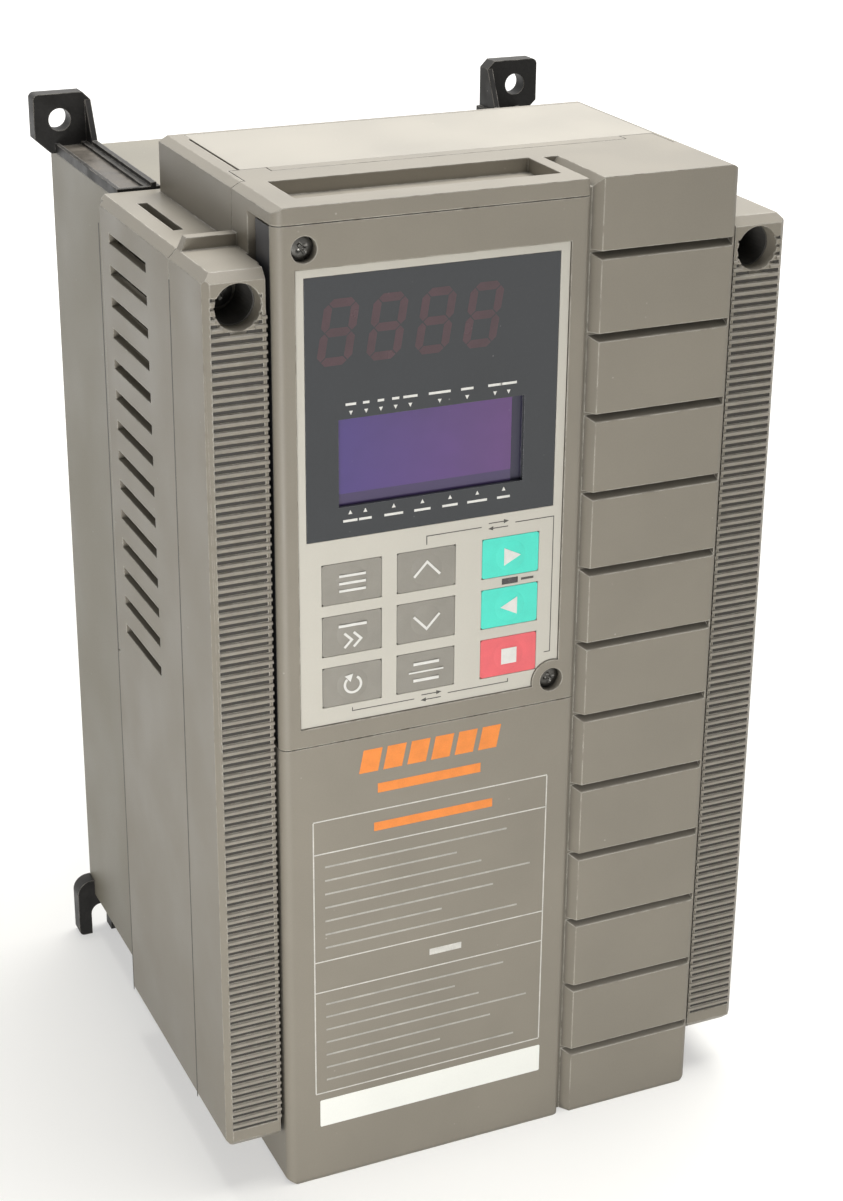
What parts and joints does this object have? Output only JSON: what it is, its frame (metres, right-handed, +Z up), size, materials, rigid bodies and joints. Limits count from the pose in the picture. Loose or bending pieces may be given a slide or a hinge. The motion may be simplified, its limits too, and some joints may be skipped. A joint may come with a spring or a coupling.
{
  "type": "variable frequency drive",
  "caption": "Wall-mounted variable frequency drive with a removable louvred cover, a keypad with displays and push keys, a cooling fan, a finned heat sink and hooked mounting brackets.",
  "frame": {"origin": "centre of the bounding box's bottom face, on the plane the drive stands on", "axes": "+X to the right seen from the front, +Y to the back (the mounting plane), +Z up"},
  "size_m": [0.15, 0.145, 0.26],
  "materials": {
    "taupe_plastic": "fine grained warm grey moulding",
    "cream_plastic": "fine grained cream moulding",
    "label_sheet": "satin printed sheet",
    "dark_plastic": "fine grained dark grey moulding",
    "black_plastic": "glossy black moulding",
    "rubber_black": "soft matt rubber",
    "smoked_window": "glossy smoked window",
    "led_face": "dim red display face",
    "lcd_glass": "purple blue display",
    "lamp_red": "clear red light pipe",
    "key_grey": "satin key",
    "key_teal": "satin teal key",
    "key_red": "satin red key",
    "board_green": "lacquered circuit board",
    "part_black": "moulded electronic part",
    "part_cream": "moulded relay housing",
    "sleeve_blue": "shrunk capacitor sleeve",
    "terminal_black": "moulded terminal block",
    "terminal_green": "moulded terminal block",
    "zinc_steel": "zinc plated steel",
    "steel_core": "laminated steel",
    "brass_post": "turned brass",
    "copper_coil": "enamelled copper winding",
    "heat_sink_alu": "extruded aluminium"
  },
  "bodies": {
    "chassis": {"mid_casing": "taupe_plastic", "gland_plate": "dark_plastic", "cable_grommets": "rubber_black", "rear_housing": "taupe_plastic", "heat_sink": "heat_sink_alu", "upper_bracket_left": "black_plastic", "upper_bracket_right": "black_plastic", "lower_bracket_left": "black_plastic", "lower_bracket_right": "black_plastic", "fan_cover": "black_plastic", "fan_frame": "dark_plastic", "fan_bearings": "zinc_steel", "fan_coil": "copper_coil", "fan_screws": "zinc_steel", "control_board": "board_green", "control_chips": "part_black", "board_standoffs": "brass_post", "board_connector": "part_black", "keypad_socket": "part_black", "power_board": "board_green", "board_pillars": "brass_post", "igbt_module": "part_black", "rectifier_module": "part_black", "dc_capacitors": "sleeve_blue", "transformer": "steel_core", "charging_relay": "part_cream", "current_sensors": "part_black", "main_terminal_block": "terminal_black", "control_terminal_block": "terminal_green"},
    "top_cap": {"top_plate": "cream_plastic"},
    "fan": {"fan_rotor": "dark_plastic", "fan_shaft": "zinc_steel"},
    "cover": {"front_cover": "taupe_plastic", "cover_screws": "zinc_steel"},
    "keypad": {"keypad_case": "taupe_plastic", "keypad_back": "dark_plastic", "keypad_overlay": "label_sheet", "display_window": "smoked_window", "led_display": "led_face", "lcd_module": "lcd_glass", "run_lamp": "lamp_red", "keypad_board": "board_green", "key_switches": "part_black", "keypad_connector": "part_black", "keypad_screws": "zinc_steel"},
    "program_key": {"program_key": "key_grey"},
    "shift_key": {"shift_key": "key_grey"},
    "reset_key": {"reset_key": "key_grey"},
    "up_key": {"up_key": "key_grey"},
    "down_key": {"down_key": "key_grey"},
    "function_key": {"function_key": "key_grey"},
    "forward_key": {"forward_key": "key_teal"},
    "reverse_key": {"reverse_key": "key_teal"},
    "stop_key": {"stop_key": "key_red"}
  },
  "joints": [
    {"name": "fan_spin", "type": "hinge", "parent": "chassis", "child": "fan", "pos_m": [0, 0.0455, 0.23], "axis": [0, 0, 1], "continuous": true},
    {"name": "top_plate_lift", "type": "slide", "parent": "chassis", "child": "top_cap", "axis": [0, 0, 1], "range_m": [0, 0.03]},
    {"name": "cover_pull", "type": "slide", "parent": "chassis", "child": "cover", "axis": [0, -1, 0], "range_m": [0, 0.06]},
    {"name": "keypad_pull", "type": "slide", "parent": "cover", "child": "keypad", "axis": [0, -1, 0], "range_m": [0, 0.03]},
    {"name": "program_key_press", "type": "slide", "parent": "keypad", "child": "program_key", "axis": [0, 1, 0], "range_m": [0, 0.00035], "stiffness_N_per_m": 1500},
    {"name": "shift_key_press", "type": "slide", "parent": "keypad", "child": "shift_key", "axis": [0, 1, 0], "range_m": [0, 0.00035], "stiffness_N_per_m": 1500},
    {"name": "reset_key_press", "type": "slide", "parent": "keypad", "child": "reset_key", "axis": [0, 1, 0], "range_m": [0, 0.00035], "stiffness_N_per_m": 1500},
    {"name": "up_key_press", "type": "slide", "parent": "keypad", "child": "up_key", "axis": [0, 1, 0], "range_m": [0, 0.00035], "stiffness_N_per_m": 1500},
    {"name": "down_key_press", "type": "slide", "parent": "keypad", "child": "down_key", "axis": [0, 1, 0], "range_m": [0, 0.00035], "stiffness_N_per_m": 1500},
    {"name": "function_key_press", "type": "slide", "parent": "keypad", "child": "function_key", "axis": [0, 1, 0], "range_m": [0, 0.00035], "stiffness_N_per_m": 1500},
    {"name": "forward_key_press", "type": "slide", "parent": "keypad", "child": "forward_key", "axis": [0, 1, 0], "range_m": [0, 0.00035], "stiffness_N_per_m": 1500},
    {"name": "reverse_key_press", "type": "slide", "parent": "keypad", "child": "reverse_key", "axis": [0, 1, 0], "range_m": [0, 0.00035], "stiffness_N_per_m": 1500},
    {"name": "stop_key_press", "type": "slide", "parent": "keypad", "child": "stop_key", "axis": [0, 1, 0], "range_m": [0, 0.00035], "stiffness_N_per_m": 1500}
  ]
}
